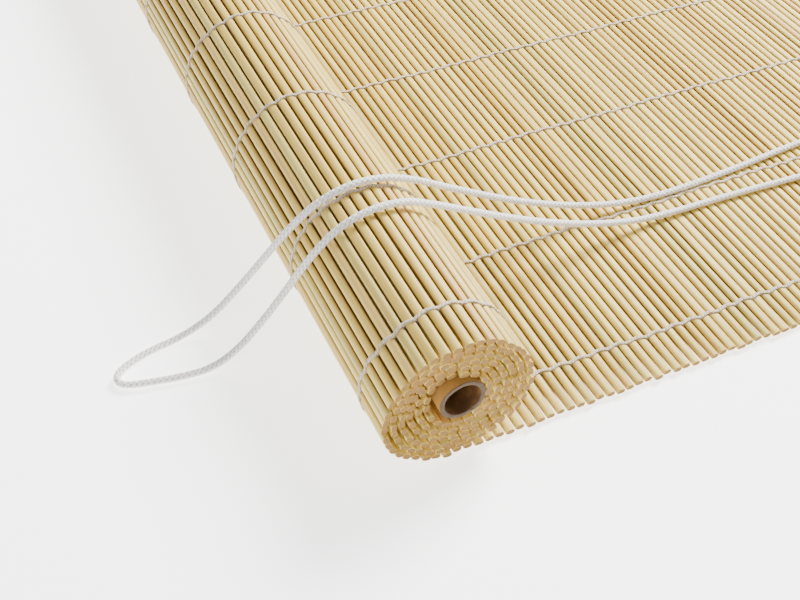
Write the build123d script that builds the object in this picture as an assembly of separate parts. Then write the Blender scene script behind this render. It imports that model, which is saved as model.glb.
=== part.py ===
from build123d import *
import math
import os
import random

# Bamboo roll-up blind, lying face up and about half rolled from its bottom end.
# It is built with the roll's near end at Y 0 and the floor at Z 0, +X from the
# roll towards the head batten and +Y along the slats, and is centred at export.
# Millimetres.

os.makedirs("parts", exist_ok=True)
chance = random.Random(11)

# woven sheet
blind_width = 600.0
slat_width = 4.4
slat_thickness = 3.0
slat_corner = 1.1
slat_gap = 0.68            # between neighbouring slats
flat_slats = 142
end_stagger = 1.4          # slats are cut this much short of the batten's ends, at most
slats_per_group = 24

# roll
roll_play = 0.68           # each turn lies a slat's thickness and this much inside the one before
roll_turns = 5.95
roll_sag = 5.0             # how much the outer turns bulge low on both sides
roll_x = 1.2
inner_setback = 4.0        # how far the innermost slats sit back on the upper left

# twine rows
first_row = 23.5
row_spacing = 78.2
twine_width = 1.6
twine_thick = 0.12
twine_gap = 0.06

# cardboard core
core_outer = 10.5
core_inner = 8.25
core_fit = -0.256          # less than nothing, as the core lies off the roll's centre
core_shift_x = 0.1         # the core lies against the inner turn's loose end
core_shift_z = 0.7

# head batten
batten_width = 24.0
batten_thick = 8.0
batten_edge = 1.5

# steel plates and screws
steel = 1.2
screw_radius = 1.4
screw_head_radius = 2.8
screw_head_height = 1.5
screw_depth = 5.5
screw_fit = 0.02
hanger_inset = 46.0        # from the batten's ends to the hanging plates
hanger_width = 14.0
hanger_overhang = 12.0
hanger_hole_radius = 2.75
hanger_screw_spacing = 12.0

# pulleys
near_pulley_row = 58.0     # from the first twine row
far_pulley_row = 52.4      # from the last twine row
wheel_setback = 3.0        # wheel axis behind the batten's middle
wheel_radius = 8.0
wheel_width = 8.4
wheel_play = 0.3           # side play of a wheel
axle_radius = 1.5
axle_clearance = 0.05
axle_head_radius = 2.6
axle_head_height = 0.9
bracket_rim = 0.4          # past the cord's hole in the base
bracket_hole_play = 0.3    # the base's hole is wider than the batten's
bracket_ear = 8.0          # what the base shows outside each cheek, for its screw
cheek_width = 9.0
wheel_lift = 1.0           # under a wheel

# pull cord
cord_radius = 1.6
cord_clearance = 0.3
cord_proud = 0.7           # how far the cord stands out of its groove
cord_hole_play = 0.6
knot_radius = 3.7
knot_length = 3.6
knot_play = 0.7
knot_hole_depth = 4.4

slat_pitch = slat_width + slat_gap
roll_layer = slat_thickness + roll_play
# radius of the first turn's slat centres
roll_outer = core_outer + core_fit + slat_thickness / 2 + roll_layer * roll_turns
row_count = int((blind_width - 2 * first_row) / row_spacing) + 1
cord_hole_radius = cord_radius + cord_hole_play
knot_hole_radius = knot_radius + knot_play
sheet_z = slat_thickness / 2 + twine_gap + twine_thick
sheet_top = 2 * sheet_z
roll_z = sheet_z + roll_outer
strand_offset = slat_thickness / 2 + twine_gap + twine_thick / 2
flat_end = roll_x + (flat_slats - 0.5) * slat_pitch
batten_x = flat_end + batten_width / 2
batten_z = sheet_top - sheet_z - slat_thickness / 2
batten_top = batten_z + batten_thick
near_pulley_y = first_row + near_pulley_row
far_pulley_y = first_row + (row_count - 1) * row_spacing - far_pulley_row
wheel_x = batten_x - wheel_setback
wheel_z = batten_top + steel + wheel_lift + wheel_radius
cord_turn = wheel_radius - cord_radius + cord_proud      # radius of the cord's line on a wheel
cord_hole_x = wheel_x + cord_turn
wheel_pitch = wheel_width + wheel_play
bracket_length = 2 * (cord_turn + cord_hole_radius + bracket_hole_play + bracket_rim)


def coil_radius(angle):
    """A spiral that loses one layer a turn, with the sag of its outer turns added."""
    loose = max(0.0, 1 - angle / math.tau / roll_turns) ** 1.5
    bulge = math.sin(angle) ** 2 * ((1 + math.cos(angle)) / 2) ** 2
    return roll_outer - roll_layer * angle / math.tau + roll_sag * loose * bulge


def slat_places():
    """Centre x, centre z, tilt and turns rolled of every slat, from the head inwards."""
    places = []
    for i in range(flat_slats):
        places.append((roll_x + (flat_slats - 1 - i) * slat_pitch, sheet_z, 0.0, 0.0))
    angle = slat_pitch / roll_outer
    while angle < math.tau * roll_turns:
        radius = coil_radius(angle)
        slope = (coil_radius(angle + 0.01) - coil_radius(angle - 0.01)) / 0.02
        x = roll_x - radius * math.sin(angle)
        z = roll_z - radius * math.cos(angle)
        places.append((x, z, angle - math.atan(slope / radius), angle / math.tau))
        angle += slat_pitch / radius
    return places


def slat(x, z, tilt, turns):
    """One split-bamboo slat, rounded at its four corners."""
    upper_left = max(0.0, math.cos(tilt - math.radians(125)))
    near_gap = chance.uniform(0.0, end_stagger) + inner_setback * upper_left * turns / roll_turns
    far_gap = chance.uniform(0.0, end_stagger)
    section = Plane.XZ * RectangleRounded(slat_width, slat_thickness, slat_corner)
    body = extrude(section, blind_width - near_gap - far_gap, dir=(0, 1, 0))
    return Pos(x, near_gap, z) * Rot(0, math.degrees(tilt), 0) * body


def ribbon(points, half):
    """Closed outline of a strip that follows points in the XZ plane."""
    left = []
    right = []
    for i, (x, z) in enumerate(points):
        before = points[max(i - 1, 0)]
        after = points[min(i + 1, len(points) - 1)]
        first = Vector(x - before[0], z - before[1]) if i else Vector(after[0] - x, after[1] - z)
        second = Vector(after[0] - x, after[1] - z) if i < len(points) - 1 else first
        first = first.normalized()
        second = second.normalized()
        side = Vector(-first.Y - second.Y, first.X + second.X)
        side = side * (half / (1 + first.dot(second)))
        left.append((x + side.X, 0, z + side.Y))
        right.append((x - side.X, 0, z - side.Y))
    return left + right[::-1]


def strand_corners(places):
    """Corners of a strand that goes over one slat and under the next."""
    corners = []
    for i in range(len(places) - 1):
        (xa, za, a, _), (xb, zb, b, _) = places[i], places[i + 1]
        half_turn = (b - a) / 2
        middle = (a + b) / 2
        up = (math.sin(middle), math.cos(middle))
        rise = math.dist((xa, za), (xb, zb)) / 2 * math.sin(half_turn)
        inner = (strand_offset - rise) / math.cos(half_turn)
        outer = -(strand_offset + rise) / math.cos(half_turn)
        pair = (inner, outer) if i % 2 == 0 else (outer, inner)
        for k in pair:
            corners.append(((xa + xb) / 2 + k * up[0], (za + zb) / 2 + k * up[1]))
    return corners


def twine_strip(points):
    face = Face(Wire.make_polygon([Vector(*p) for p in ribbon(points, twine_thick / 2)]))
    strip = extrude(face, twine_width, dir=(0, 1, 0))
    return Pos(0, -twine_width / 2, 0) * strip


def batten_loop():
    """The strand's way round the head batten and up to the first slat."""
    low = batten_z - twine_gap - twine_thick / 2
    high = batten_top + twine_gap + twine_thick / 2
    near = flat_end - (slat_pitch - slat_width) / 4
    far = batten_x + batten_width / 2 + twine_gap + twine_thick / 2
    return [(near, low), (far, low), (far, high), (near, high), (near, sheet_z + strand_offset)]


def rounded_bar(length_x, length_y, height, edge):
    bar = Box(length_x, length_y, height, align=(Align.CENTER, Align.MIN, Align.MIN))
    return fillet(bar.edges().filter_by(Axis.Y), edge)


def drill(x, y, z, radius, depth):
    """A hole that goes down from z."""
    return Pos(x, y, z - depth) * Cylinder(radius, depth, align=(Align.CENTER, Align.CENTER, Align.MIN))


def screw(x, y, z):
    """Round-head screw with a cross slot, its head seated at z."""
    head = Pos(x, y, z) * Cylinder(screw_head_radius, screw_head_height,
                                   align=(Align.CENTER, Align.CENTER, Align.MIN))
    head = fillet(head.edges().group_by(Axis.Z)[-1], screw_head_height * 0.6)
    slot = Pos(x, y, z + screw_head_height) * Box(3.2, 0.6, 1.2)
    cross = Pos(x, y, z + screw_head_height) * Box(0.6, 3.2, 1.2)
    return head + drill(x, y, z, screw_radius, screw_depth) - slot - cross


def hanger_screw_places():
    places = []
    for y in hanger_ys:
        for side in (-0.5, 0.5):
            places.append((batten_x + side * hanger_screw_spacing, y))
    return places


def hanging_plate(y):
    """Flat steel plate with one hanging hole past the batten's edge."""
    inner_end = batten_x - hanger_screw_spacing / 2 - screw_head_radius - 1.6
    hole_x = batten_x + batten_width / 2 + hanger_overhang - hanger_width / 2
    length = hole_x - inner_end
    plate = Pos(inner_end + length / 2, y) * Rectangle(length, hanger_width)
    plate += Pos(hole_x, y) * Circle(hanger_width / 2)
    plate -= Pos(hole_x, y) * Circle(hanger_hole_radius)
    for side in (-0.5, 0.5):
        spot = Pos(batten_x + side * hanger_screw_spacing, y)
        plate -= spot * Circle(screw_radius + screw_fit)
    return Pos(0, 0, batten_top) * extrude(plate, steel)


def bracket_half_width(wheels):
    return (wheels * wheel_pitch + wheel_play) / 2


def pulley_screw_places():
    places = []
    for y, wheels in pulleys:
        reach = bracket_half_width(wheels) + steel + bracket_ear / 2
        places += [(wheel_x, y - reach), (wheel_x, y + reach)]
    return places


def cord_hole_places():
    places = []
    for y, wheels in pulleys:
        for k in range(wheels):
            places.append((cord_hole_x, y + (k - (wheels - 1) / 2) * wheel_pitch))
    return places


def pulley_bracket(y, wheels):
    """Folded steel bracket: a base with an ear each side and two upright cheeks."""
    half = bracket_half_width(wheels)
    base_width = 2 * (half + steel + bracket_ear)
    base = Box(bracket_length, base_width, steel, align=(Align.CENTER, Align.CENTER, Align.MIN))
    base = fillet(base.edges().filter_by(Axis.Z), 2.5)
    bracket = Pos(wheel_x, y, batten_top) * base
    cheek_top = wheel_z + cheek_width / 2
    for side in (-1, 1):
        outline = Pos(wheel_x, (batten_top + wheel_z) / 2) * Rectangle(cheek_width, wheel_z - batten_top)
        outline += Pos(wheel_x, wheel_z) * Circle(cheek_width / 2)
        outline -= Pos(wheel_x, wheel_z) * Circle(axle_radius + screw_fit)
        cheek = extrude(Plane.XZ * outline, steel / 2, both=True)
        bracket += Pos(0, y + side * (half + steel / 2), 0) * cheek
    for x, hole_y in cord_hole_places():
        if abs(hole_y - y) < half:
            bracket -= drill(x, hole_y, batten_top + steel, cord_hole_radius + bracket_hole_play, steel)
    for x, screw_y in pulley_screw_places():
        if abs(screw_y - y) < base_width / 2:
            bracket -= drill(x, screw_y, batten_top + steel, screw_radius + screw_fit, steel)
    return bracket


def pulley_axle(y, wheels):
    """Riveted axle through both cheeks."""
    half = bracket_half_width(wheels) + steel
    pin = Cylinder(axle_radius, 2 * half + 0.1)
    for side in (-1, 1):
        head = Pos(0, 0, side * (half + 0.05 + axle_head_height / 2)) * Cylinder(axle_head_radius, axle_head_height)
        pin += fillet(head.edges(), 0.3)
    return Pos(wheel_x, y, wheel_z) * Rot(90, 0, 0) * pin


def pulley_wheel(y):
    """Grooved wheel, turned from one piece."""
    groove = cord_radius + cord_clearance
    profile = Pos((axle_radius + axle_clearance + wheel_radius) / 2, 0) * Rectangle(
        wheel_radius - axle_radius - axle_clearance, wheel_width)
    profile -= Pos(cord_turn, 0) * Circle(groove)
    profile -= Pos(cord_turn + wheel_radius / 2, 0) * Rectangle(wheel_radius, 2 * groove)
    wheel = revolve(Plane.XZ * profile, Axis.Z)
    return Pos(wheel_x, y, wheel_z) * Rot(90, 0, 0) * wheel


def head_batten():
    """Planed wooden batten with the screw, cord and knot holes."""
    batten = Pos(batten_x, 0, batten_z) * rounded_bar(batten_width, blind_width, batten_thick, batten_edge)
    for x, y in hanger_screw_places() + pulley_screw_places():
        batten -= drill(x, y, batten_top, screw_radius + screw_fit, screw_depth)
    for x, y in cord_hole_places():
        batten -= drill(x, y, batten_top, cord_hole_radius, batten_thick)
        batten -= drill(x, y, batten_z + knot_hole_depth, knot_hole_radius, knot_hole_depth)
    return batten


def over_wheel(y):
    """Corners of the cord's way up through the batten and over its wheel."""
    corners = [(cord_hole_x, y, knot_top), (cord_hole_x, y, wheel_z + cord_turn * math.tan(math.radians(22.5)))]
    for angle, half in ((67.5, 22.5), (107.5, 17.5)):
        reach = cord_turn / math.cos(math.radians(half))
        a = math.radians(angle)
        corners.append((wheel_x + reach * math.cos(a), y, wheel_z + reach * math.sin(a)))
    return corners


def cord_tube(points, tight):
    """Round cord along straight runs joined by the largest arcs that fit."""
    points = [Vector(*p) for p in points]
    radii = []
    for i in range(1, len(points) - 1):
        a = points[i] - points[i - 1]
        b = points[i + 1] - points[i]
        turn = math.radians(a.get_angle(b))
        radius = 0.45 * min(a.length, b.length) / math.tan(turn / 2)
        if i in tight:
            radius = 0.96 * cord_turn
        radii.append(radius)
    line = FilletPolyline(*points, radius=radii)
    start = Plane(origin=line @ 0, z_dir=line % 0)
    tube = sweep(start * Circle(cord_radius), path=line)
    length = line.length
    print("cord length", round(length, 1), "runs", len(points) - 1)
    print("cord radii", [round(r, 1) for r in radii])
    print("cord volume over section x length", round(tube.volume / (math.pi * cord_radius**2 * length), 4))
    return tube


def knot(x, y):
    """Stopper knot in its counterbore under the batten."""
    ball = Cylinder(knot_radius, knot_length, align=(Align.CENTER, Align.CENTER, Align.MAX))
    return Pos(x, y, knot_top) * fillet(ball.edges(), 1.2)


hanger_ys = [hanger_inset, blind_width - hanger_inset]
pulleys = [(near_pulley_y, 2), (far_pulley_y, 1)]
knot_top = batten_z + knot_hole_depth - cord_clearance
row_ys = [first_row + k * row_spacing for k in range(row_count)]
parts = {}

# slats, in groups from the head to the roll and then one group for each turn
places = slat_places()
groups = {}
for i, place in enumerate(places):
    if i < flat_slats:
        name = f"sheet_slats_{1 + i // slats_per_group}"
    else:
        name = f"roll_turn_{1 + int(place[3])}_slats"
    groups.setdefault(name, []).append(slat(*place))
for name, solids in groups.items():
    parts[name] = Compound(solids)
print("slats", len(places), "in the roll", len(places) - flat_slats)

# twine rows, each in a flat stretch and a rolled stretch that meet face to face
corners = strand_corners(places)
split = 2 * flat_slats
flat_strip = twine_strip(batten_loop() + corners[:split])
corner, after = corners[split - 1], corners[split]
run = math.dist(corner, after)
step = twine_thick / 2 / run
first = (corner[0] + (after[0] - corner[0]) * step, corner[1] + (after[1] - corner[1]) * step)
roll_strip = twine_strip([first] + corners[split:])
for k, y in enumerate(row_ys, 1):
    parts[f"twine_row_{k}_sheet"] = Pos(0, y, 0) * flat_strip
    parts[f"twine_row_{k}_roll"] = Pos(0, y, 0) * roll_strip

# core
core = Cylinder(core_outer, blind_width) - Cylinder(core_inner, blind_width)
core_at = (roll_x + core_shift_x, roll_z + core_shift_z)
parts["core_tube"] = Pos(core_at[0], blind_width / 2, core_at[1]) * Rot(90, 0, 0) * core

# head
parts["head_batten"] = head_batten()
for y, side in zip(hanger_ys, ("near", "far")):
    parts[f"hanging_plate_{side}"] = hanging_plate(y)
parts["hanging_plate_screws"] = Compound([screw(x, y, batten_top + steel) for x, y in hanger_screw_places()])
parts["pulley_screws"] = Compound([screw(x, y, batten_top + steel) for x, y in pulley_screw_places()])
for (y, wheels), side in zip(pulleys, ("near", "far")):
    parts[f"pulley_bracket_{side}"] = pulley_bracket(y, wheels)
    parts[f"pulley_axle_{side}"] = pulley_axle(y, wheels)
wheel_ys = [y for x, y in cord_hole_places()]
for name, y in zip(("near_1", "near_2", "far"), wheel_ys):
    parts[f"pulley_wheel_{name}"] = pulley_wheel(y)

# the doubled pull cord, from one knot over its wheel, out over the roll and back
floor_z = cord_radius + 0.05
laid_z = sheet_top + cord_radius + 0.1
out_strand = [
    (wheel_x - 12.5, wheel_ys[1], 18.6), (wheel_x - 29, wheel_ys[1] + 0.2, 9.4),
    (wheel_x - 51, wheel_ys[1] + 1.2, laid_z), (627, 89.8, laid_z), (572, 94.4, laid_z),
    (514, 100.4, laid_z), (458, 106.4, laid_z), (402, 111.0, laid_z), (350, 113.6, laid_z),
    (303, 112.6, laid_z), (262, 110.0, laid_z), (227, 106.6, laid_z), (199, 104.6, laid_z),
    (174, 103.8, laid_z), (152, 104.9, laid_z + 0.9), (130, 106.3, 10.4), (107, 107.0, 18.4), (84, 106.8, 29.2),
    (62, 106.0, 41.8), (43, 105.2, 53.4), (28.5, 104.1, 62.9), (14, 103.0, 70.2), (-2, 102.6, 72.5),
    (-17.5, 103.1, 67.8), (-30.5, 105.0, 56.6), (-42, 107.8, 41.4), (-55.5, 110.6, 24.0),
    (-70.5, 111.7, 8.6), (-87, 111.1, floor_z), (-102.5, 108.9, floor_z), (-114.5, 104.6, floor_z),
]
back_strand = [
    (-120.6, 99.6, floor_z), (-119.0, 93.6, floor_z), (-108.0, 90.8, floor_z), (-93.5, 88.0, floor_z),
    (-79.0, 86.6, 2.4), (-66.0, 86.8, 9.6), (-53.5, 86.5, 23.0), (-41.5, 85.4, 39.2), (-31.0, 84.0, 54.6),
    (-18.0, 83.4, 67.4), (-2.5, 83.9, 72.4), (14.0, 85.0, 70.4), (29.0, 86.1, 62.4), (47, 87.0, 51.6),
    (70, 87.8, 38.4), (94, 88.1, 26.4), (119, 88.5, 16.2), (144, 88.9, 8.6), (168, 89.2, laid_z + 0.5),
    (190, 89.3, laid_z), (217, 88.4, laid_z), (253, 86.2, laid_z), (298, 84.0, laid_z),
    (348, 83.4, laid_z), (402, 84.8, laid_z), (458, 86.6, laid_z), (514, 86.6, laid_z), (568, 84.2, laid_z),
    (619, 80.8, laid_z), (wheel_x - 72, wheel_ys[0] + 1.4, laid_z), (wheel_x - 47, wheel_ys[0] + 0.2, laid_z),
    (wheel_x - 27, wheel_ys[0], 10.2), (wheel_x - 12, wheel_ys[0], 18.8),
]
start = over_wheel(wheel_ys[1])
finish = over_wheel(wheel_ys[0])[::-1]
route = start + out_strand + back_strand + finish
last = len(route) - 1
parts["pull_cord"] = cord_tube(route, {1, 2, 3, last - 1, last - 2, last - 3})
parts["cord_knots"] = Compound([knot(cord_hole_x, y) for y in wheel_ys[:2]])

# the origin is under the middle of the blind, without its cord
body = [shape for name, shape in parts.items() if name not in ("pull_cord", "cord_knots")]
middle = Compound(body).bounding_box().center()
home = Pos(-middle.X, -middle.Y, 0)
for name, shape in parts.items():
    export_step(home * shape, f"parts/{name}.step")

print("moved by", round(-middle.X, 3), round(-middle.Y, 3))
print("wheels", [(round(wheel_x - middle.X, 3), round(y - middle.Y, 3), round(wheel_z, 3)) for y in wheel_ys])
print("hanging holes", [(round(batten_x + batten_width / 2 + hanger_overhang - hanger_width / 2 - middle.X, 3),
                         round(y - middle.Y, 3)) for y in hanger_ys])
print("core axis", round(core_at[0] - middle.X, 3), round(core_at[1], 3))
print("batten middle", round(batten_x - middle.X, 3), "underside", round(batten_z, 3))
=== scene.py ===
import bpy
import math
import random
import numpy as np
from mathutils import Matrix, Vector


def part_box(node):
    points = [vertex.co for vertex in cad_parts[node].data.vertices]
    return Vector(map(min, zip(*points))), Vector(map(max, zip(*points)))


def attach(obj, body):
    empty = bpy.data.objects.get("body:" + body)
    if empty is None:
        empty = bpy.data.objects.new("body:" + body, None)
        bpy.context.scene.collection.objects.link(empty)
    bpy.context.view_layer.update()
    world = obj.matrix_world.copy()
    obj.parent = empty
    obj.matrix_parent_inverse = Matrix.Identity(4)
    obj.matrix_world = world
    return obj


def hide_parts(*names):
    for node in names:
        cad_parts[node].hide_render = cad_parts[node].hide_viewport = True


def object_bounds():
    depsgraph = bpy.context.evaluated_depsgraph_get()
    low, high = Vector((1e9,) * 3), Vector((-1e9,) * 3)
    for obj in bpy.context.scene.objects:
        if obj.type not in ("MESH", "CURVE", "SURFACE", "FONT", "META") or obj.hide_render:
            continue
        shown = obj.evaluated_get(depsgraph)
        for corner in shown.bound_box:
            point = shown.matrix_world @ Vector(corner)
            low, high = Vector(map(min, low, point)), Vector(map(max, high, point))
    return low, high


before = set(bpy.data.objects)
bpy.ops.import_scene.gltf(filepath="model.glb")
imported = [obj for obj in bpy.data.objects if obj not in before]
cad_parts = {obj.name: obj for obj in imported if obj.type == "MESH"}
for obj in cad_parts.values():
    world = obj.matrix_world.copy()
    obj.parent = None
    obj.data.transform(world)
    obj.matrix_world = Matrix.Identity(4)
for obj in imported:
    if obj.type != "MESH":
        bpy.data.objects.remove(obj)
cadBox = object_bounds()

mm = 0.001
coreLow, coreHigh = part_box("core_tube")
battenLow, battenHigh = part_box("head_batten")

# the woven sheet and its roll, in millimetres
weave = {
    "pitch": 5.08,
    "width": 4.4,
    "thick": 3.0,
    "flatSlats": 142,
    "groupSize": 24,
    "layer": 3.68,          # one turn lies this much inside the one before
    "rollRadius": 33.64,    # first turn, to the slats' middles
    "rollTurns": 5.95,
    "sag": 5.0,             # low bulge of the outer turns
    "underTwine": 0.18,
    "endStagger": 1.4,
    "innerSetback": 4.0,
    "coreShift": 0.1,
    "length": 600.0,
}
nearEnd = battenLow.y / mm
sheetZ = weave["thick"] / 2 + weave["underTwine"]
rollZ = sheetZ + weave["rollRadius"]
rollX = (coreLow.x + coreHigh.x) / 2 / mm - weave["coreShift"]
drawnX = rollX - 1.2        # the cord and camera are drawn from here
print("frame read, roll axis at", round(rollX, 2))


def addMath(tree, operation, a, b=None, c=None):
    node = tree.nodes.new("ShaderNodeMath")
    node.operation = operation
    for socket, value in zip(node.inputs, (a, b, c)):
        if isinstance(value, (int, float)):
            socket.default_value = value
        elif value is not None:
            tree.links.new(value, socket)
    return node.outputs[0]


def addMix(tree, mask, a, b):
    node = tree.nodes.new("ShaderNodeMix")
    node.data_type = "RGBA"
    for socket, value in ((node.inputs[0], mask), (node.inputs[6], a), (node.inputs[7], b)):
        if isinstance(value, (int, float)):
            socket.default_value = value
        elif isinstance(value, tuple):
            socket.default_value = (*value, 1.0)
        else:
            tree.links.new(value, socket)
    return node.outputs[2]


def addNoise(tree, vector, scale, detail=3.0):
    node = tree.nodes.new("ShaderNodeTexNoise")
    node.inputs["Scale"].default_value = scale
    node.inputs["Detail"].default_value = detail
    tree.links.new(vector, node.inputs["Vector"])
    return node.outputs["Fac"]


def addStep(tree, value, low, high):
    node = tree.nodes.new("ShaderNodeMapRange")
    node.interpolation_type = "SMOOTHSTEP"
    node.inputs["From Min"].default_value = low
    node.inputs["From Max"].default_value = high
    tree.links.new(value, node.inputs["Value"])
    return node.outputs["Result"]


def addScale(tree, vector, scale):
    node = tree.nodes.new("ShaderNodeMapping")
    node.inputs["Scale"].default_value = scale
    tree.links.new(vector, node.inputs["Vector"])
    return node.outputs["Vector"]


def addBump(tree, height, strength, distance):
    node = tree.nodes.new("ShaderNodeBump")
    node.inputs["Strength"].default_value = strength
    node.inputs["Distance"].default_value = distance
    tree.links.new(height, node.inputs["Height"])
    return node.outputs["Normal"]


def addUv(tree, name):
    node = tree.nodes.new("ShaderNodeUVMap")
    node.uv_map = name
    split = tree.nodes.new("ShaderNodeSeparateXYZ")
    tree.links.new(node.outputs["UV"], split.inputs[0])
    return node.outputs["UV"], split.outputs[0], split.outputs[1]


def addObjectPlace(tree):
    return tree.nodes.new("ShaderNodeTexCoord").outputs["Object"]


def newGroup(name, inputs, outputs):
    group = bpy.data.node_groups.new(name, "ShaderNodeTree")
    for label, kind in inputs:
        group.interface.new_socket(label, in_out="INPUT", socket_type=kind)
    for label in outputs:
        group.interface.new_socket(label, in_out="OUTPUT", socket_type="NodeSocketFloat")
    start = group.nodes.new("NodeGroupInput")
    end = group.nodes.new("NodeGroupOutput")
    return group, start.outputs, end.inputs


def placeGroup(tree, group, **values):
    node = tree.nodes.new("ShaderNodeGroup")
    node.node_tree = group
    for label, value in values.items():
        socket = node.inputs[label]
        if isinstance(value, (int, float)):
            socket.default_value = value
        else:
            tree.links.new(value, socket)
    return node.outputs


def fibreGroup():
    # fine and broad streaks from a vector already stretched along the fibre
    inputs = (("Vector", "NodeSocketVector"), ("Bias", "NodeSocketFloat"))
    group, given, made = newGroup("fibreStreaks", inputs,
                                  ("Fine", "Broad", "Height"))
    fine = addNoise(group, given["Vector"], 1.0, 4.0)
    broad = addNoise(group, given["Vector"], 0.21, 2.0)
    lifted = addMath(group, "ADD", fine, given["Bias"])
    group.links.new(addStep(group, lifted, 0.50, 0.74), made["Fine"])
    group.links.new(addStep(group, broad, 0.50, 0.72), made["Broad"])
    group.links.new(fine, made["Height"])
    return group


def yarnGroup():
    # stripes that wind round a yarn: the sine of turns along it plus plies round it
    inputs = (("Along", "NodeSocketFloat"), ("Around", "NodeSocketFloat"),
              ("Turns", "NodeSocketFloat"), ("Plies", "NodeSocketFloat"))
    group, given, made = newGroup("woundYarn", inputs, ("Ridge", "Groove"))
    along = addMath(group, "MULTIPLY", given["Along"], given["Turns"])
    around = addMath(group, "MULTIPLY", given["Around"], given["Plies"])
    turn = addMath(group, "MULTIPLY", addMath(group, "ADD", along, around), math.tau)
    wave = addMath(group, "MULTIPLY_ADD", addMath(group, "SINE", turn), 0.5, 0.5)
    group.links.new(wave, made["Ridge"])
    group.links.new(addStep(group, wave, 0.38, 0.05), made["Groove"])
    return group


def mottleGroup():
    # cloudy tone and small specks in a surface
    group, given, made = newGroup("mottle", (("Vector", "NodeSocketVector"), ("Size", "NodeSocketFloat")),
                                  ("Cloud", "Speck", "Height"))
    scaled = group.nodes.new("ShaderNodeVectorMath")
    scaled.operation = "SCALE"
    group.links.new(given["Vector"], scaled.inputs[0])
    group.links.new(given["Size"], scaled.inputs["Scale"])
    cloud = addNoise(group, scaled.outputs[0], 1.0, 4.0)
    speck = addNoise(group, scaled.outputs[0], 7.0, 1.0)
    group.links.new(addStep(group, cloud, 0.38, 0.68), made["Cloud"])
    group.links.new(addStep(group, speck, 0.62, 0.74), made["Speck"])
    group.links.new(speck, made["Height"])
    return group


fibreStreaks = fibreGroup()
woundYarn = yarnGroup()
mottle = mottleGroup()


def newMaterial(name, roughness=0.5, metallic=0.0, specular=0.5):
    material = bpy.data.materials.new(name)
    material.use_nodes = True
    tree = material.node_tree
    shader = tree.nodes["Principled BSDF"]
    shader.inputs["Roughness"].default_value = roughness
    shader.inputs["Metallic"].default_value = metallic
    shader.inputs["Specular IOR Level"].default_value = specular
    return material, tree, shader


bamboo = {
    "straw": (0.640, 0.435, 0.085),
    "cream": (0.860, 0.665, 0.180),
    "green": (0.600, 0.480, 0.125),
    "pink": (0.660, 0.410, 0.110),
    "fibre": (0.430, 0.240, 0.055),
    # flank: painted shade for the gaps between neighbouring slats
    "flank": (0.190, 0.095, 0.018),
    "cutFace": (0.255, 0.142, 0.030),
    "pores": (0.170, 0.085, 0.018),
}


def bambooMaterial():
    # a tone for each slat, streaks along it, painted shade on the split flanks for the gaps between slats,
    # and porous cut ends
    material, tree, shader = newMaterial("splitBamboo", 0.5, specular=0.3)
    tone = tree.nodes.new("ShaderNodeAttribute")
    tone.attribute_name = "slatTone"
    split = tree.nodes.new("ShaderNodeSeparateColor")
    tree.links.new(tone.outputs["Color"], split.inputs[0])
    uv, along, around = addUv(tree, "fibre")
    isCut = addMath(tree, "GREATER_THAN", around, 1.5)
    streak = placeGroup(tree, fibreStreaks, Vector=addScale(tree, uv, (2.2, 20.0, 1.0)), Bias=0.0)
    base = addMix(tree, split.outputs[0], bamboo["straw"], bamboo["cream"])
    base = addMix(tree, addStep(tree, split.outputs[1], 0.70, 0.98), base, bamboo["green"])
    base = addMix(tree, addStep(tree, split.outputs[2], 0.78, 0.99), base, bamboo["pink"])
    base = addMix(tree, addMath(tree, "MULTIPLY", streak["Fine"], 0.30), base, bamboo["fibre"])
    base = addMix(tree, addMath(tree, "MULTIPLY", streak["Broad"], 0.30), base, bamboo["fibre"])
    flank = addMath(tree, "ABSOLUTE", addMath(tree, "SINE", addMath(tree, "MULTIPLY", around, math.tau)))
    # the painted gap shade on the split flanks fades down to four tenths over the last millimetres before a
    # cut
    reach = tree.nodes.new("ShaderNodeSeparateXYZ")
    tree.links.new(addObjectPlace(tree), reach.inputs[0])
    inward = addStep(tree, addMath(tree, "ABSOLUTE", reach.outputs[1]), 0.2985, 0.2950)
    inward = addMath(tree, "MULTIPLY_ADD", inward, 0.6, 0.4)
    paintedGapShadeMask = addMath(tree, "MULTIPLY", addStep(tree, flank, 0.62, 0.05), inward)
    # painted shade: the split flanks are darkened where neighbouring slats shade the gaps
    base = addMix(tree, paintedGapShadeMask, base, bamboo["flank"])
    pores = placeGroup(tree, mottle, Vector=uv, Size=2.6)
    cloud = addMath(tree, "MULTIPLY", pores["Cloud"], 0.5)
    cutColour = addMix(tree, cloud, bamboo["cutFace"], bamboo["pores"])
    cutColour = addMix(tree, addMath(tree, "MULTIPLY", pores["Speck"], 0.6), cutColour, bamboo["pores"])
    tree.links.new(addMix(tree, isCut, base, cutColour), shader.inputs["Base Color"])
    rough = addMath(tree, "MULTIPLY_ADD", streak["Height"], 0.25, 0.36)
    rough = addMath(tree, "ADD", rough, addMath(tree, "MULTIPLY", isCut, 0.35))
    tree.links.new(rough, shader.inputs["Roughness"])
    tree.links.new(addBump(tree, streak["Height"], 0.4, 0.0003), shader.inputs["Normal"])
    return material


yarns = {
    "twine": (0.640, 0.535, 0.400),
    "twineShade": (0.320, 0.240, 0.150),
    "cord": (0.93, 0.91, 0.88),
    "cordShade": (0.26, 0.245, 0.23),
}


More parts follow.
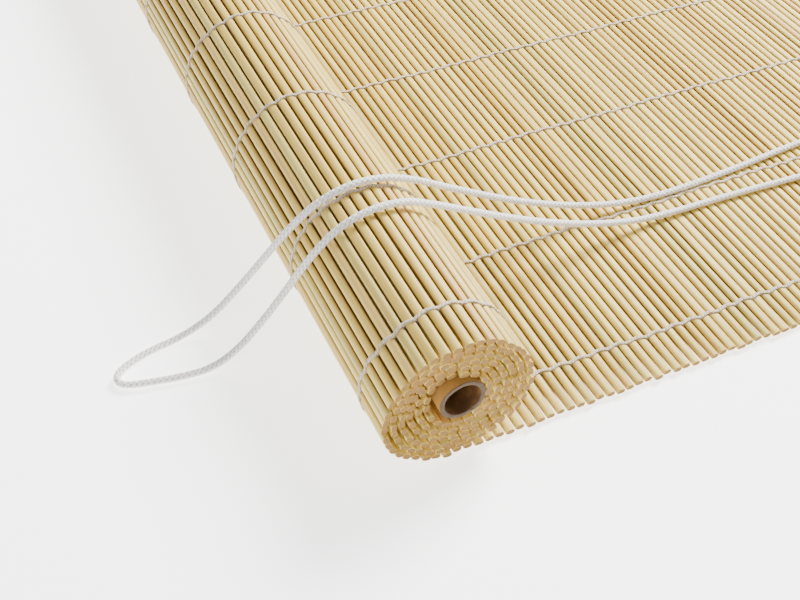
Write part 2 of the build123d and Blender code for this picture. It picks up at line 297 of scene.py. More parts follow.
def twineMaterial():
    material, tree, shader = newMaterial("cottonTwine", 0.88, specular=0.2)
    uv, along, around = addUv(tree, "twist")
    ply = placeGroup(tree, woundYarn, Along=along, Around=around, Turns=3.0, Plies=2.0)
    fuzz = addNoise(tree, addScale(tree, uv, (30, 14, 1)), 1.0, 3.0)
    mask = addMath(tree, "MULTIPLY", ply["Groove"], 0.65)
    base = addMix(tree, mask, yarns["twine"], yarns["twineShade"])
    fuzzMask = addMath(tree, "MULTIPLY", addStep(tree, fuzz, 0.5, 0.8), 0.35)
    base = addMix(tree, fuzzMask, base, yarns["twineShade"])
    tree.links.new(base, shader.inputs["Base Color"])
    height = addMath(tree, "ADD", ply["Ridge"], addMath(tree, "MULTIPLY", fuzz, 0.4))
    tree.links.new(addBump(tree, height, 0.7, 0.0003), shader.inputs["Normal"])
    shader.inputs["Sheen Weight"].default_value = 0.3
    return material


def cordMaterial():
    # two sets of plaits that cross, each darker in its grooves
    material, tree, shader = newMaterial("braidedCord", 0.62, specular=0.35)
    uv, along, around = addUv(tree, "braid")
    left = placeGroup(tree, woundYarn, Along=along, Around=around, Turns=2.0, Plies=4.0)
    right = placeGroup(tree, woundYarn, Along=along, Around=around, Turns=2.0, Plies=-4.0)
    hair = placeGroup(tree, woundYarn, Along=along, Around=around, Turns=-3.0, Plies=19.0)
    groove = addMath(tree, "MULTIPLY", left["Groove"], right["Groove"])
    groove = addMath(tree, "MAXIMUM", groove, addMath(tree, "MULTIPLY", left["Groove"], 0.35))
    base = addMix(tree, addMath(tree, "MULTIPLY", groove, 0.8), yarns["cord"], yarns["cordShade"])
    tree.links.new(base, shader.inputs["Base Color"])
    height = addMath(tree, "ADD", left["Ridge"], right["Ridge"])
    height = addMath(tree, "ADD", height, addMath(tree, "MULTIPLY", hair["Ridge"], 0.25))
    tree.links.new(addBump(tree, height, 0.6, 0.0003), shader.inputs["Normal"])
    shader.inputs["Sheen Weight"].default_value = 0.25
    return material


board = {
    "face": (0.310, 0.160, 0.034),
    "dark": (0.200, 0.100, 0.022),
    "edge": (0.085, 0.052, 0.027),
    "ply": (0.055, 0.031, 0.014),
    # painted shade for the tube's bore, which is the same kraft board as the face
    "inside": (0.075, 0.032, 0.007),
}


def boardMaterial():
    # the UV runs round the tube, and along it in turns of the spiral seam
    # its height is 0 to 13 on the face, about 20 on the cut ring and over 40 inside
    material, tree, shader = newMaterial("kraftBoard", 0.78, specular=0.25)
    uv, around, along = addUv(tree, "wrap")
    streak = placeGroup(tree, fibreStreaks, Vector=addScale(tree, uv, (60.0, 9.0, 1.0)), Bias=0.0)
    cloud = placeGroup(tree, mottle, Vector=uv, Size=9.0)
    seam = addMath(tree, "FRACT", addMath(tree, "ADD", around, along))
    seamLine = addStep(tree, seam, 0.03, 0.0)
    base = addMix(tree, addMath(tree, "MULTIPLY", streak["Fine"], 0.4), board["face"], board["dark"])
    base = addMix(tree, addMath(tree, "MULTIPLY", cloud["Cloud"], 0.35), base, board["dark"])
    base = addMix(tree, seamLine, base, board["dark"])
    # painted shade down the tube's bore: the inside is painted far darker than the face, mottled
    inside = addMix(tree, addMath(tree, "MULTIPLY", cloud["Cloud"], 0.5), board["inside"], board["dark"])
    base = addMix(tree, addMath(tree, "GREATER_THAN", along, 40.0), base, inside)
    plies = addStep(tree, addMath(tree, "FRACT", addMath(tree, "MULTIPLY", along, 5.0)), 0.55, 0.95)
    ring = addMix(tree, addMath(tree, "MULTIPLY", plies, 0.6), board["edge"], board["ply"])
    ring = addMix(tree, addMath(tree, "MULTIPLY", cloud["Speck"], 0.5), ring, board["ply"])
    pastFace = addMath(tree, "GREATER_THAN", along, 19.0)
    onRing = addMath(tree, "MULTIPLY", pastFace, addMath(tree, "LESS_THAN", along, 31.0))
    tree.links.new(addMix(tree, onRing, base, ring), shader.inputs["Base Color"])
    tree.links.new(addBump(tree, streak["Height"], 0.35, 0.0003), shader.inputs["Normal"])
    return material


wood = {
    "light": (0.600, 0.375, 0.150),
    "grain": (0.290, 0.145, 0.042),
}


def battenMaterial():
    material, tree, shader = newMaterial("varnishedPine", 0.42, specular=0.5)
    place = addObjectPlace(tree)
    ripple = addNoise(tree, addScale(tree, place, (30, 4, 30)), 1.0, 2.0)
    streak = placeGroup(tree, fibreStreaks, Vector=addScale(tree, place, (900, 14, 900)), Bias=0.0)
    rings = placeGroup(tree, fibreStreaks, Vector=addScale(tree, place, (260, 5, 260)), Bias=ripple)
    base = addMix(tree, addMath(tree, "MULTIPLY", rings["Broad"], 0.55), wood["light"], wood["grain"])
    base = addMix(tree, addMath(tree, "MULTIPLY", streak["Fine"], 0.45), base, wood["grain"])
    tree.links.new(base, shader.inputs["Base Color"])
    tree.links.new(addMath(tree, "MULTIPLY_ADD", streak["Height"], 0.25, 0.30), shader.inputs["Roughness"])
    tree.links.new(addBump(tree, streak["Height"], 0.3, 0.0003), shader.inputs["Normal"])
    return material


hardware = {
    "zinc": ((0.66, 0.66, 0.63), (0.44, 0.44, 0.43), 0.34, 1.0, 160.0),
    "screw": ((0.58, 0.57, 0.54), (0.36, 0.35, 0.34), 0.30, 1.0, 420.0),
    "wheel": ((0.84, 0.82, 0.75), (0.70, 0.67, 0.59), 0.42, 0.0, 90.0),
}


def hardwareMaterial(name):
    light, dark, roughness, metallic, size = hardware[name]
    material, tree, shader = newMaterial(name + "Finish", roughness, metallic)
    cloud = placeGroup(tree, mottle, Vector=addObjectPlace(tree), Size=size)
    base = addMix(tree, addMath(tree, "MULTIPLY", cloud["Cloud"], 0.6), light, dark)
    base = addMix(tree, addMath(tree, "MULTIPLY", cloud["Speck"], 0.3), base, dark)
    tree.links.new(base, shader.inputs["Base Color"])
    rough = addMath(tree, "MULTIPLY_ADD", cloud["Cloud"], 0.16, roughness - 0.06)
    tree.links.new(rough, shader.inputs["Roughness"])
    tree.links.new(addBump(tree, cloud["Height"], 0.12, 0.0002), shader.inputs["Normal"])
    return material


def makePiece(name, vertices, faces, material, uv, uvName, smooth=None):
    mesh = bpy.data.meshes.new(name)
    mesh.from_pydata(vertices, [], faces)
    mesh.materials.append(material)
    if smooth is None:
        smooth = np.ones(len(faces), bool)
    mesh.polygons.foreach_set("use_smooth", smooth)
    mesh.uv_layers.new(name=uvName).data.foreach_set("uv", uv.astype(np.float32).ravel())
    piece = bpy.data.objects.new(name, mesh)
    bpy.context.scene.collection.objects.link(piece)
    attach(piece, "blind")
    return piece


def tubeFaces(rows, around, u, v, base=0, flip=False):
    # quads of a tube grid with rows rings, the corners' u and v taken from one value a ring and one a column
    i, j = np.meshgrid(np.arange(rows - 1), np.arange(around), indexing="ij")
    k = (j + 1) % around
    quads = np.stack([i * around + j, i * around + k, (i + 1) * around + k, (i + 1) * around + j], -1)
    us = np.stack([u[i], u[i], u[i + 1], u[i + 1]], -1)
    vs = np.stack([v[j], v[j + 1], v[j + 1], v[j]], -1)
    uv = np.stack([us, vs], -1)
    if flip:
        quads = quads[..., ::-1]
        uv = uv[..., ::-1, :]
    return quads.reshape(-1, 4) + base, uv.reshape(-1, 2)


def coilRadius(angle):
    # a spiral that loses one layer a turn, with the outer turns' low bulge added
    loose = max(0.0, 1 - angle / math.tau / weave["rollTurns"]) ** 1.5
    bulge = math.sin(angle) ** 2 * ((1 + math.cos(angle)) / 2) ** 2
    return weave["rollRadius"] - weave["layer"] * angle / math.tau + weave["sag"] * loose * bulge


def slatPlaces():
    # middle x, middle z, tilt and turns rolled, from the head inwards
    places = []
    for i in range(weave["flatSlats"]):
        places.append((rollX + (weave["flatSlats"] - 1 - i) * weave["pitch"], sheetZ, 0.0, 0.0))
    angle = weave["pitch"] / weave["rollRadius"]
    while angle < math.tau * weave["rollTurns"]:
        radius = coilRadius(angle)
        slope = (coilRadius(angle + 0.01) - coilRadius(angle - 0.01)) / 0.02
        x = rollX - radius * math.sin(angle)
        z = rollZ - radius * math.cos(angle)
        places.append((x, z, angle - math.atan(slope / radius), angle / math.tau))
        angle += weave["pitch"] / radius
    return places


slatShape = {
    "around": 12,
    "rings": 6,
    "cutEdge": 0.25,        # rounding of a cut end
    "squareness": 2.15,     # 2 is an ellipse
    "widthSpread": 0.05,
    "thickSpread": 0.06,
    "bow": 0.22,            # sideways bend
    "lift": 0.10,
    "twist": 4.0,           # degrees
    "flatShare": 0.09,      # slats split flatter and wider than the rest
}


def slatGrid(place, nearGap, farGap, looks):
    # a superellipse section carried along the slat, bent by slow sines and drawn in at both cut ends
    x, z, tilt = place[:3]
    isFlat = looks.random() < slatShape["flatShare"]
    halfWide = weave["width"] / 2 * (1 + slatShape["widthSpread"] * (looks.random() * 2 - 1.2))
    halfThick = weave["thick"] / 2 * (1 + slatShape["thickSpread"] * (looks.random() * 2 - 1.2))
    squareness = slatShape["squareness"] + looks.random() * 0.5
    if isFlat:
        halfWide *= 1.05
        halfThick *= 0.88
        squareness = 3.2
    a = (np.arange(slatShape["around"]) + 0.5) / slatShape["around"] * math.tau
    sx = halfWide * np.sign(np.cos(a)) * np.abs(np.cos(a)) ** (2 / squareness)
    sz = halfThick * np.sign(np.sin(a)) * np.abs(np.sin(a)) ** (2 / squareness)
    start = nearGap
    stop = weave["length"] - farGap
    y = np.linspace(start, stop, slatShape["rings"])
    edge = slatShape["cutEdge"]
    y = np.concatenate([[start, start + edge], y[1:-1], [stop - edge, stop]])
    inset = np.ones(len(y))
    inset[[0, -1]] = 0.92
    phase = looks.random() * math.tau
    waves = 1 + looks.random() * 1.5
    lean = looks.random() * 2 - 1
    run = y / weave["length"]
    side = slatShape["bow"] * (0.6 * np.sin(phase + waves * math.tau * run) + lean * (run - 0.5))
    rise = slatShape["lift"] * np.sin(phase * 1.7 + 1.3 * waves * math.tau * run)
    turn = math.radians(slatShape["twist"] * (looks.random() * 2 - 1)) * np.sin(phase + 2.2 * run)
    px = np.outer(inset, sx)
    pz = np.outer(inset, sz)
    across = px * np.cos(turn)[:, None] + pz * np.sin(turn)[:, None] + side[:, None]
    up = pz * np.cos(turn)[:, None] - px * np.sin(turn)[:, None] + rise[:, None]
    gx = x + across * math.cos(tilt) + up * math.sin(tilt)
    gz = z - across * math.sin(tilt) + up * math.cos(tilt)
    gy = np.repeat(y[:, None] + nearEnd, len(a), 1)
    return np.stack([gx, gy, gz], -1) * mm, y


def slatNode(i, place):
    if i < weave["flatSlats"]:
        return f"sheet_slats_{1 + i // weave['groupSize']}"
    return f"roll_turn_{1 + int(place[3])}_slats"


def buildSlats(material):
    # one piece for each group of slats, with a tone and fibre coordinates for every slat
    chance = random.Random(11)
    looks = random.Random(23)
    places = slatPlaces()
    groups = {}
    for i, place in enumerate(places):
        upperLeft = max(0.0, math.cos(place[2] - math.radians(125)))
        nearGap = chance.uniform(0, weave["endStagger"])
        nearGap += weave["innerSetback"] * upperLeft * place[3] / weave["rollTurns"]
        farGap = chance.uniform(0, weave["endStagger"])
        grid, y = slatGrid(place, nearGap, farGap, looks)
        tone = [looks.random() for k in range(4)]
        groups.setdefault(slatNode(i, place), []).append((grid, y, tone))
    n = slatShape["around"]
    v = np.arange(n + 1) / n + 0.5 / n
    ringAngle = np.arange(n) / n * math.tau
    for node, slats in groups.items():
        vertices = []
        faces = []
        uvs = []
        tones = []
        smooth = []
        base = 0
        for grid, y, tone in slats:
            rows = len(grid)
            quads, uv = tubeFaces(rows, n, y / 60 + tone[3] * 40, v, base)
            capU = 3 + tone[3] * 9 + 0.5 * np.cos(ringAngle)
            capV = 3 + tone[2] * 9 + 0.35 * np.sin(ringAngle)
            capUv = np.stack([capU, capV], -1)
            near = np.arange(n) + base
            far = near[::-1] + (rows - 1) * n
            vertices.append(grid.reshape(-1, 3))
            faces += quads.tolist() + [near[::-1].tolist(), far[::-1].tolist()]
            uvs += [uv, capUv, capUv]
            smooth += [True] * len(quads) + [False, False]
            tones.append(np.repeat([[*tone[:3], 1.0]], rows * n, 0))
            base += rows * n
        words = node.split("_")
        name = words[0] + "".join(word.capitalize() for word in words[1:])
        piece = makePiece(name, np.concatenate(vertices), faces, material,
                          np.concatenate(uvs), "fibre", smooth)
        colours = piece.data.color_attributes.new("slatTone", "FLOAT_COLOR", "POINT")
        colours.data.foreach_set("color", np.concatenate(tones).astype(np.float32).ravel())
        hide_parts(node)
    print("slats made:", len(places))
    return places


twine = {
    "rows": 8,
    "first": 23.5,
    "spacing": 78.2,
    "halfWide": 0.95,       # half a strand's width over a slat
    "halfThick": 0.42,
    "above": 1.70,          # a strand's middle from the slat's middle
    "below": 1.56,
    "cross": 0.52,          # how far the strands stand apart where they cross
    "stiff": 6.0,           # how squarely a strand steps over a slat
    "bias": 0.30,           # makes a stitch longer on the face that shows
    "samples": 8,
    "around": 6,
    "wander": 0.35,         # unevenness of a row
}


def strandTube(centre, sideways, outward, halfWide, halfThick, u, base):
    # an oval section carried along the strand
    n = twine["around"]
    a = np.arange(n) / n * math.tau
    wide = halfWide[:, None, None] * np.cos(a)[None, :, None]
    thick = halfThick[:, None, None] * np.sin(a)[None, :, None]
    ring = centre[:, None, :] + sideways[:, None, :] * wide + outward[:, None, :] * thick
    quads, uv = tubeFaces(len(centre), n, u, np.arange(n + 1) / n, base)
    near = np.arange(n) + base
    far = near + (len(centre) - 1) * n
    faces = quads.tolist() + [near[::-1].tolist(), far.tolist()]
    return ring.reshape(-1, 3), faces, np.concatenate([uv, np.zeros((2 * n, 2))])


def battenWrap(y):
    # round the head batten and up to the first slat: a rectangle with rounded corners
    low = battenLow.z / mm - 0.1
    high = battenHigh.z / mm + 0.42
    near = battenLow.x / mm - 0.35
    far = battenHigh.x / mm + 0.4
    corner = 1.6
    x = []
    z = []
    for cx, cz, first in ((near, low, 180), (far, low, 270), (far, high, 0), (near, high, 90)):
        turn = np.radians(first + np.linspace(0, 90, 6))
        x.append(cx + corner * np.cos(turn) - math.copysign(corner, cx - (near + far) / 2))
        z.append(cz + corner * np.sin(turn) - math.copysign(corner, cz - (low + high) / 2))
    x = np.concatenate(x + [[near]])
    z = np.concatenate(z + [[sheetZ + 0.4]])
    centre = np.stack([x, np.full_like(x, y), z], -1)
    along = np.gradient(centre, axis=0)
    along /= np.linalg.norm(along, axis=1)[:, None]
    sideways = np.tile((0.0, 1.0, 0.0), (len(x), 1))
    return centre, sideways, np.cross(along, sideways)


def buildTwine(places, material):
    # two strands wound round each other once every two slats, one over a slat while the other is under it
    count = (len(places) - 1) * twine["samples"] + 1
    s = np.linspace(0, len(places) - 1, count)
    whole = np.arange(len(places))
    x, z, angle = (np.interp(s, whole, [place[k] for place in places]) for k in range(3))
    up = np.stack([np.sin(angle), np.zeros_like(s), np.cos(angle)], -1)
    # the face that shows is the top of the sheet and the outside of the roll
    outside = np.where(s > weave["flatSlats"] - 0.5, -1.0, 1.0)
    for row in range(twine["rows"]):
        phaseY = row * 1.9
        y = nearEnd + twine["first"] + row * twine["spacing"]
        wander = twine["wander"] * (np.sin(s * 0.31 + phaseY) + 0.6 * np.sin(s * 0.83 + 2 * phaseY))
        line = np.stack([x, y + wander, z], -1)
        vertices = []
        faces = []
        uvs = []
        base = 0
        for strand in (0, 1):
            phase = math.pi * (s + strand) + math.pi / 2
            swing = outside * np.tanh(twine["stiff"] * (outside * np.sin(phase) + twine["bias"]))
            height = np.where(swing * outside > 0, twine["above"], twine["below"]) * swing
            side = -twine["cross"] * np.cos(phase) * np.sign(0.5 - strand)
            centre = line + up * height[:, None]
            centre[:, 1] += side
            along = np.gradient(centre, axis=0)
            along /= np.linalg.norm(along, axis=1)[:, None]
            sideways = np.cross(along, up)
            sideways[np.linalg.norm(sideways, axis=1) < 0.25] = (0.0, 1.0, 0.0)
            sideways *= np.sign(sideways[:, 1:2] + 1e-9)
            sideways /= np.linalg.norm(sideways, axis=1)[:, None]
            outward = np.cross(along, sideways)
            flat = np.abs(swing) ** 0.5
            halfWide = twine["halfWide"] * (0.62 + 0.38 * flat)
            halfThick = twine["halfThick"] * (1.25 - 0.25 * flat)
            v, f, t = strandTube(centre, sideways, outward, halfWide, halfThick, s, base)
            vertices.append(v)
            faces += f
            uvs.append(t)
            base += len(v)
            centre, sideways, outward = battenWrap(y + (strand - 0.5) * 1.1)
            size = np.full(len(centre), 0.5)
            run = np.arange(len(centre)) * 0.3
            v, f, t = strandTube(centre, sideways, outward, size, size * 0.8, run, base)
            vertices.append(v)
            faces += f
            uvs.append(t)
            base += len(v)
        piece = makePiece(f"twineRow{row + 1}", np.concatenate(vertices) * mm, faces, material,
                          np.concatenate(uvs), "twist")
        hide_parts(f"twine_row_{row + 1}_sheet", f"twine_row_{row + 1}_roll")
    print("twine rows made:", twine["rows"])


coreShape = {
    "outer": 10.5,
    "inner": 8.25,
    "around": 96,
    "edge": 0.25,
    "rough": 0.12,          # how uneven the cut is
}


def buildCore(material):
    # a closed profile round the tube's wall, turned about its axis, with unevenly cut rings
    cx = (coreLow.x + coreHigh.x) / 2 / mm
    cz = (coreLow.z + coreHigh.z) / 2 / mm
    e = coreShape["edge"]
    outer = coreShape["outer"]
    inner = coreShape["inner"]
    length = weave["length"]
    # radius, place along the tube, and the UV height that tells face, ring and inside apart
    profile = np.array([
        (outer, e, 0.0), (outer, 60, 1.3), (outer, length / 2, 6.5),
        (outer, length - 60, 11.7), (outer, length - e, 13.0),
        (outer - e, length, 20.2), (outer - 0.9, length, 21.0),
        (inner + 0.9, length, 22.0), (inner + e, length, 22.8),
        (inner, length - e, 43.0), (inner, length / 2, 48.0), (inner, e, 55.0),
        (inner + e, 0, 22.8), (inner + 0.9, 0, 22.0), (outer - 0.9, 0, 21.0), (outer - e, 0, 20.2),
    ])
    n = coreShape["around"]
    turn = np.arange(n) / n * math.tau
    ragged = np.sin(turn * 5 + 1) * 0.5 + np.sin(turn * 13) * 0.3 + np.sin(turn * 29 + 2) * 0.2
    notch = np.exp(-((turn - math.radians(303)) / 0.07) ** 2)
    radius = np.repeat(profile[:, 0:1], n, 1) + 0.05 * np.sin(turn * 2)[None, :]
    atEnd = (np.abs(profile[:, 1] - length / 2) > length / 2 - 1)[:, None]
    inward = np.sign(length / 2 - profile[:, 1])[:, None]
    y = profile[:, 1:2] + atEnd * inward * (coreShape["rough"] * (1 + ragged)[None, :])
    nearInside = ((profile[:, 1] < 1) & (profile[:, 0] < inner + 1))[:, None]
    y = y + nearInside * 0.5 * notch[None, :]
    grid = np.stack([cx + radius * np.cos(turn), y + nearEnd, cz + radius * np.sin(turn)], -1) * mm
    rows = len(profile)
    i, j = np.meshgrid(np.arange(rows), np.arange(n), indexing="ij")
    k = (j + 1) % n
    h = (i + 1) % rows
    quads = np.stack([i * n + j, h * n + j, h * n + k, i * n + k], -1).reshape(-1, 4)
    height = profile[:, 2]
    nextHeight = np.roll(height, -1)
    isInside = height + nextHeight > 80
    isEdge = (np.abs(height - nextHeight) > 6) & ~isInside
    # a quad between two kinds of surface takes the ring's own height
    ringHeight = np.where(np.abs(height - 21.5) < 2, height, nextHeight)
    cutA = np.where(isEdge, ringHeight, height)
    cutB = np.where(isEdge, ringHeight, nextHeight)
    u = np.arange(n + 1) / n
    us = np.stack([u[j], u[j], u[j + 1], u[j + 1]], -1)
    vs = np.stack([cutA[i], cutB[i], cutB[i], cutA[i]], -1)
    uv = np.stack([us, vs], -1).reshape(-1, 2)
    piece = makePiece("coreTube", grid.reshape(-1, 3), quads.tolist(), material, uv, "wrap")
    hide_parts("core_tube")
    print("core made")


cordShape = {
    "radius": 1.6,
    "laid": 5.06,           # its middle on the sheet
    "floor": 1.65,
    "onWheel": 7.1,
    "holeTop": 4.28,
}


def cordRoute():
    # from one knot over its wheel, out over the sheet and the roll, round the loop and back
    oneLow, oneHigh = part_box("pulley_wheel_near_1")
    twoLow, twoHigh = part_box("pulley_wheel_near_2")
    wheelX = (oneLow.x + oneHigh.x) / 2 / mm - drawnX
    wheelZ = (oneLow.z + oneHigh.z) / 2 / mm
    y1 = (oneLow.y + oneHigh.y) / 2 / mm - nearEnd
    y2 = (twoLow.y + twoHigh.y) / 2 / mm - nearEnd
    laid = cordShape["laid"]
    floor = cordShape["floor"]
    turn = cordShape["onWheel"]

    def overWheel(y):
        points = [
            (wheelX + turn, y, cordShape["holeTop"]),
            (wheelX + turn, y, wheelZ + turn * math.tan(math.pi / 8)),
        ]
        for angle, half in ((67.5, 22.5), (107.5, 17.5)):
            reach = turn / math.cos(math.radians(half))
            a = math.radians(angle)
            points.append((wheelX + reach * math.cos(a), y, wheelZ + reach * math.sin(a)))
        return points

    outward = [
        (wheelX - 12.5, y2, 18.6), (wheelX - 29, y2 + 0.2, 9.4),
        (wheelX - 51, y2 + 1.2, laid), (627, 89.8, laid), (572, 94.4, laid),
        (514, 100.4, laid), (458, 106.4, laid), (402, 111.0, laid), (350, 113.6, laid),
        (303, 112.6, laid), (262, 110.0, laid), (227, 106.6, laid), (199, 104.6, laid),
        (174, 103.8, laid), (152, 104.9, laid + 0.9), (130, 106.3, 10.4), (107, 107.0, 18.4),
        (84, 106.8, 29.2),
        (62, 106.0, 41.8), (43, 105.2, 53.4), (28.5, 104.1, 62.9), (14, 103.0, 70.2), (-2, 102.6, 72.5),
        (-17.5, 103.1, 67.8), (-30.5, 105.0, 56.6), (-42, 107.8, 41.4), (-55.5, 110.6, 24.0),
        (-70.5, 111.7, 8.6), (-87, 111.1, floor), (-102.5, 108.9, floor), (-114.5, 104.6, floor),
    ]
    homeward = [
        (-120.6, 99.6, floor), (-119.0, 93.6, floor), (-108.0, 90.8, floor), (-93.5, 88.0, floor),
        (-79.0, 86.6, 2.4), (-66.0, 86.8, 9.6), (-53.5, 86.5, 23.0), (-41.5, 85.4, 39.2), (-31.0, 84.0, 54.6),
        (-18.0, 83.4, 67.4), (-2.5, 83.9, 72.4), (14.0, 85.0, 70.4), (29.0, 86.1, 62.4), (47, 87.0, 51.6),
        (70, 87.8, 38.4), (94, 88.1, 26.4), (119, 88.5, 16.2), (144, 88.9, 8.6), (168, 89.2, laid + 0.5),
        (190, 89.3, laid), (217, 88.4, laid), (253, 86.2, laid), (298, 84.0, laid),
        (348, 83.4, laid), (402, 84.8, laid), (458, 86.6, laid), (514, 86.6, laid), (568, 84.2, laid),
        (619, 80.8, laid), (wheelX - 72, y1 + 1.4, laid), (wheelX - 47, y1 + 0.2, laid),
        (wheelX - 27, y1, 10.2), (wheelX - 12, y1, 18.8),
    ]
    points = np.array(overWheel(y2) + outward + homeward + overWheel(y1)[::-1])
    points[:, 0] += drawnX
    points[:, 1] += nearEnd
    return points * mm


def splinePoints(route):
    # points along the smooth line that has the route as its control points
    curve = bpy.data.curves.new("cordLine", "CURVE")
    curve.dimensions = "3D"
    curve.resolution_u = 24
    spline = curve.splines.new("NURBS")
    spline.points.add(len(route) - 1)
    spline.points.foreach_set("co", np.concatenate([route, np.ones((len(route), 1))], 1).ravel())
    spline.order_u = 3
    spline.use_endpoint_u = True
    line = bpy.data.objects.new("cordLine", curve)
    bpy.context.scene.collection.objects.link(line)
    mesh = bpy.data.meshes.new_from_object(line.evaluated_get(bpy.context.evaluated_depsgraph_get()))
    points = np.empty(len(mesh.vertices) * 3)
    mesh.vertices.foreach_get("co", points)
    bpy.data.objects.remove(line)
    return points.reshape(-1, 3)


def evenPoints(points, step):
    run = np.concatenate([[0], np.cumsum(np.linalg.norm(np.diff(points, axis=0), axis=1))])
    s = np.linspace(0, run[-1], int(run[-1] / step) + 1)
    return np.stack([np.interp(s, run, points[:, k]) for k in range(3)], -1), s


braid = {
    "around": 16,
    "step": 0.6,
    "plaits": 4,            # in each of the two sets
    "pitch": 5.2,
    "relief": 0.17,
    "leanOf": (0.0, 0.6, 0.8),    # a direction the cord never takes
}


def braidTube(points, s, radius, name, material):
    # a tube whose radius is raised where one of two sets of spiral plaits lies on top
    along = np.gradient(points, axis=0)
    along /= np.linalg.norm(along, axis=1)[:, None]
    side = np.cross(along, braid["leanOf"])
    side /= np.linalg.norm(side, axis=1)[:, None]
    other = np.cross(along, side)
    n = braid["around"]
    a = np.arange(n) / n * math.tau
    u = s[:, None] / mm / braid["pitch"] * math.tau * 2
    round1 = np.abs(np.sin((u + a[None, :] * braid["plaits"]) / 2))
    round2 = np.abs(np.sin((u - a[None, :] * braid["plaits"]) / 2))
    onTop = np.cos(u) * np.cos(a[None, :] * braid["plaits"]) > 0
    ridge = np.where(onTop, round1, round2) - 0.6
    reach = radius * mm * (1 + braid["relief"] * ridge)
    ring = points[:, None] + side[:, None] * (reach * np.cos(a))[..., None]
    ring = ring + other[:, None] * (reach * np.sin(a))[..., None]
    rows = len(points)
    quads, uv = tubeFaces(rows, n, s / mm / braid["pitch"], np.arange(n + 1) / n)
    near = np.arange(n)[::-1]
    far = np.arange(n) + (rows - 1) * n
    faces = quads.tolist() + [near.tolist(), far.tolist()]
    uv = np.concatenate([uv, np.zeros((2 * n, 2))])
    return makePiece(name, ring.reshape(-1, 3), faces, material, uv, "braid")


knotShape = {"reach": 0.80, "height": 0.85, "radius": 1.0, "stations": 90}


def buildKnots(material):
    # a stopper knot is a closed three-lobed line, pulled tight
    low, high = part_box("cord_knots")
    pieces = []
    for side, y in (("One", low.y / mm + 3.7), ("Two", high.y / mm - 3.7)):
        t = np.linspace(0, math.tau, knotShape["stations"])
        x = knotShape["reach"] * (np.sin(t) + 2 * np.sin(2 * t)) + (low.x + high.x) / 2 / mm
        yy = knotShape["reach"] * (np.cos(t) - 2 * np.cos(2 * t)) + y
        z = -knotShape["height"] * np.sin(3 * t) + (low.z + high.z) / 2 / mm
        line, s = evenPoints(np.stack([x, yy, z], -1) * mm, 0.5 * mm)
        piece = braidTube(line, s, knotShape["radius"], "stopperKnot" + side, material)
        pieces.append(piece)
    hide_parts("cord_knots")
    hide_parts("cord_knots")
    return pieces


def buildCord(material, knots):
    points, s = evenPoints(splinePoints(cordRoute()), braid["step"] * mm)
    piece = braidTube(points, s, cordShape["radius"], "pullCord", material)
    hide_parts("pull_cord")
    print("cord made, length", round(float(s[-1]), 4))


def paintNodes():
    zinc = hardwareMaterial("zinc")
    screw = hardwareMaterial("screw")
    wheel = hardwareMaterial("wheel")
    plan = {
        "head_batten": battenMaterial(),
        "hanging_plate_near": zinc,
        "hanging_plate_far": zinc,
        "hanging_plate_screws": screw,
        "pulley_screws": screw,
        "pulley_bracket_near": zinc,
        "pulley_bracket_far": zinc,
        "pulley_axle_near": screw,
        "pulley_axle_far": screw,
        "pulley_wheel_near_1": wheel,
        "pulley_wheel_near_2": wheel,
        "pulley_wheel_far": wheel,
    }
    for node, finish in plan.items():
        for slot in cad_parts[node].material_slots:
            slot.material = finish
    print("hardware painted:", len(plan))


camera = {
    "place": (-146.64, -248.02, 386.35),    # from the drawing's origin, under the roll's near end
    "azimuth": -25.59,
    "elevation": 45.57,
    "roll": 1.19,
    "lens": 50.54,
}


def buildCamera():
    data = bpy.data.cameras.new("studioCamera")
    data.lens = camera["lens"]
    data.sensor_width = 36
    item = bpy.data.objects.new("studioCamera", data)
    bpy.context.scene.collection.objects.link(item)
    a = math.radians(camera["azimuth"])
    e = math.radians(camera["elevation"])
    back = Vector((math.sin(a) * math.cos(e), -math.cos(a) * math.cos(e), math.sin(e)))
    turn = back.to_track_quat("Z", "Y").to_matrix() @ Matrix.Rotation(math.radians(camera["roll"]), 3, "Z")
    x, y, z = camera["place"]
    item.matrix_world = Matrix.Translation(((x + drawnX) * mm, (y + nearEnd) * mm, z * mm)) @ turn.to_4x4()
    bpy.context.scene.camera = item


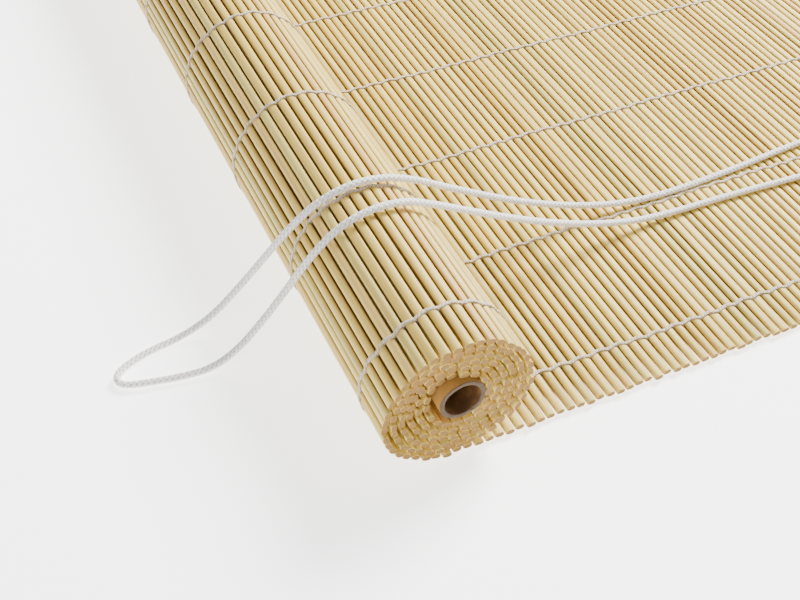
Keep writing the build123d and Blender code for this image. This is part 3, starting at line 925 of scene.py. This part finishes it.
studio = {
    "world": 0.50,
    "floorTone": (0.95, 0.95, 0.95),
    "floorGlow": 2.6,
    # name, place, aim, width and depth, power
    "lights": (
        ("keyLight", (0.95, 0.40, 1.2), (-0.25, -0.1, 0), (0.7, 0.7), 135),
        ("sideLight", (-1.3, -0.9, 0.9), (-0.3, -0.2, 0), (0.8, 0.8), 7),
    ),
}


def areaLight(name, place, aim, size, power):
    data = bpy.data.lights.new(name, "AREA")
    data.shape = "RECTANGLE"
    data.size, data.size_y = size
    data.energy = power
    item = bpy.data.objects.new(name, data)
    item.location = place
    item.rotation_euler = (Vector(aim) - Vector(place)).to_track_quat("-Z", "Y").to_euler()
    bpy.context.scene.collection.objects.link(item)


def buildStage():
    mesh = bpy.data.meshes.new("studioFloor")
    z = cadBox[0].z - 0.0008
    mesh.from_pydata([(-40, -40, z), (40, -40, z), (40, 40, z), (-40, 40, z)], [], [(0, 1, 2, 3)])
    # the floor glows a little, except where the blind lies on it
    material, tree, shader = newMaterial("paleFloor", 0.9, specular=0.1)
    shader.inputs["Base Color"].default_value = (*studio["floorTone"], 1)
    place = tree.nodes.new("ShaderNodeSeparateXYZ")
    tree.links.new(addObjectPlace(tree), place.inputs[0])
    side = addStep(tree, addMath(tree, "ABSOLUTE", place.outputs[1]), 0.285, 0.295)
    left = addStep(tree, place.outputs[0], rollX * mm, rollX * mm - 0.02)
    right = addStep(tree, place.outputs[0], battenLow.x - 0.01, battenHigh.x)
    glow = addMath(tree, "MAXIMUM", side, addMath(tree, "MAXIMUM", left, right))
    tree.links.new(addMix(tree, glow, (0.0, 0.0, 0.0), (1.0, 1.0, 1.0)), shader.inputs["Emission Color"])
    shader.inputs["Emission Strength"].default_value = studio["floorGlow"]
    mesh.materials.append(material)
    floor = bpy.data.objects.new("studioFloor", mesh)
    bpy.context.scene.collection.objects.link(floor)
    world = bpy.data.worlds.new("studioWorld")
    world.use_nodes = True
    world.node_tree.nodes["Background"].inputs[0].default_value = (1, 1, 1, 1)
    world.node_tree.nodes["Background"].inputs[1].default_value = studio["world"]
    bpy.context.scene.world = world
    for light in studio["lights"]:
        areaLight(*light)


cordFinish = cordMaterial()
places = buildSlats(bambooMaterial())
buildTwine(places, twineMaterial())
buildCore(boardMaterial())
buildCord(cordFinish, buildKnots(cordFinish))
paintNodes()
buildCamera()
buildStage()
